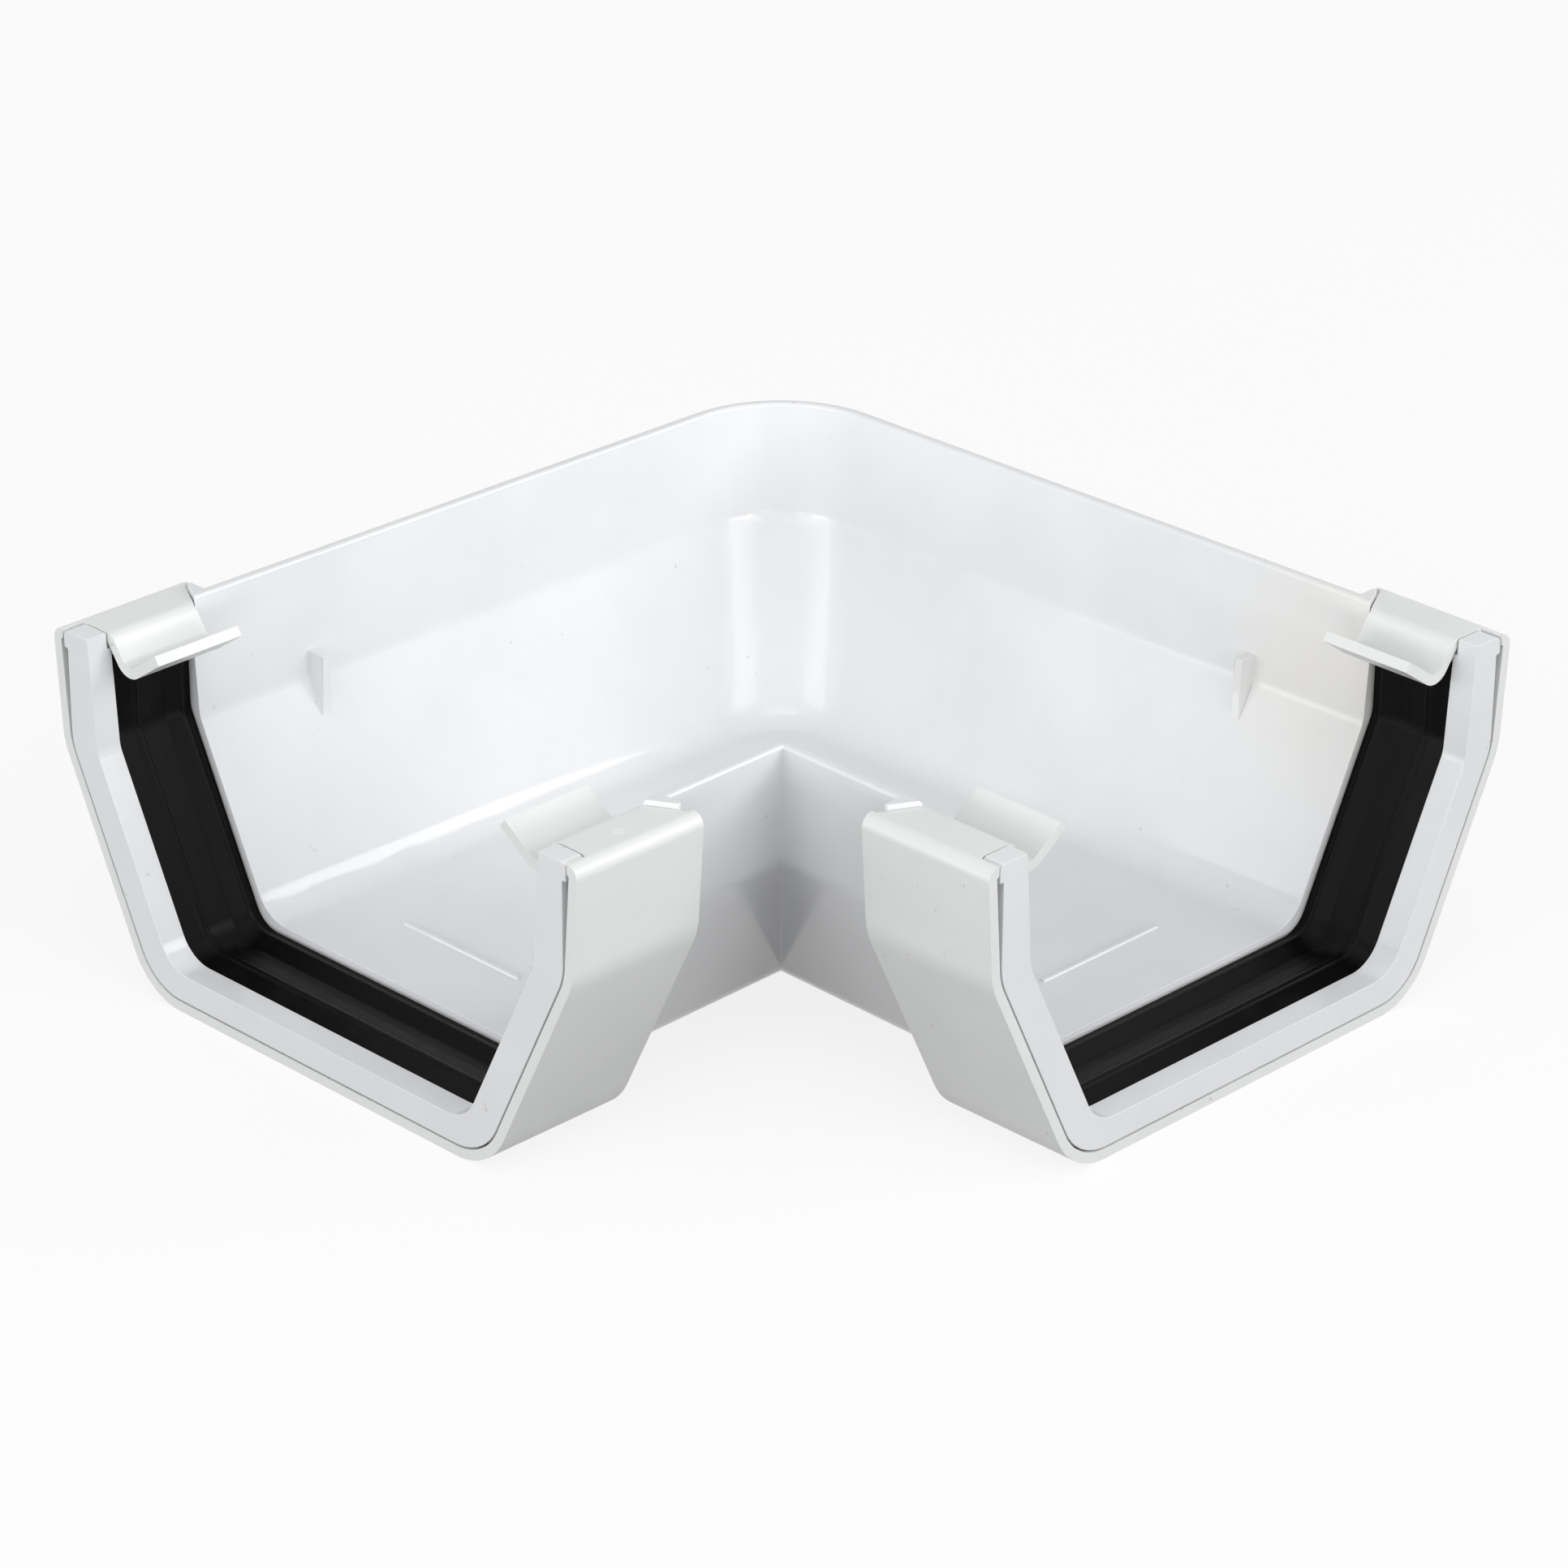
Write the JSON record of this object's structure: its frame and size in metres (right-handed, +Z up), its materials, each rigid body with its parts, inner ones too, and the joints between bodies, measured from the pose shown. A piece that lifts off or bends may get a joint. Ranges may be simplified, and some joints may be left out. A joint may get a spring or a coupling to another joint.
{
  "type": "gutter angle",
  "caption": "Ninety degree corner channel for square-section rainwater gutter, with a rubber-sealed socket and a hooked retaining strap at each open end.",
  "frame": {"origin": "where the centre lines of the two gutter runs cross, on the level of the straps' undersides", "axes": "+X and +Y along the two runs towards their open ends, +Z up; the outer corner lies towards -X and -Y"},
  "size_m": [0.168, 0.168, 0.0614],
  "materials": {
    "angle": "white moulded vinyl, glossy",
    "strap": "white moulded vinyl, glossy",
    "seal": "black moulded rubber, dull"
  },
  "bodies": {
    "root": {"angle_body": "angle", "strap_x": "strap", "strap_y": "strap", "seal_x": "seal", "seal_y": "seal"}
  },
  "joints": []
}
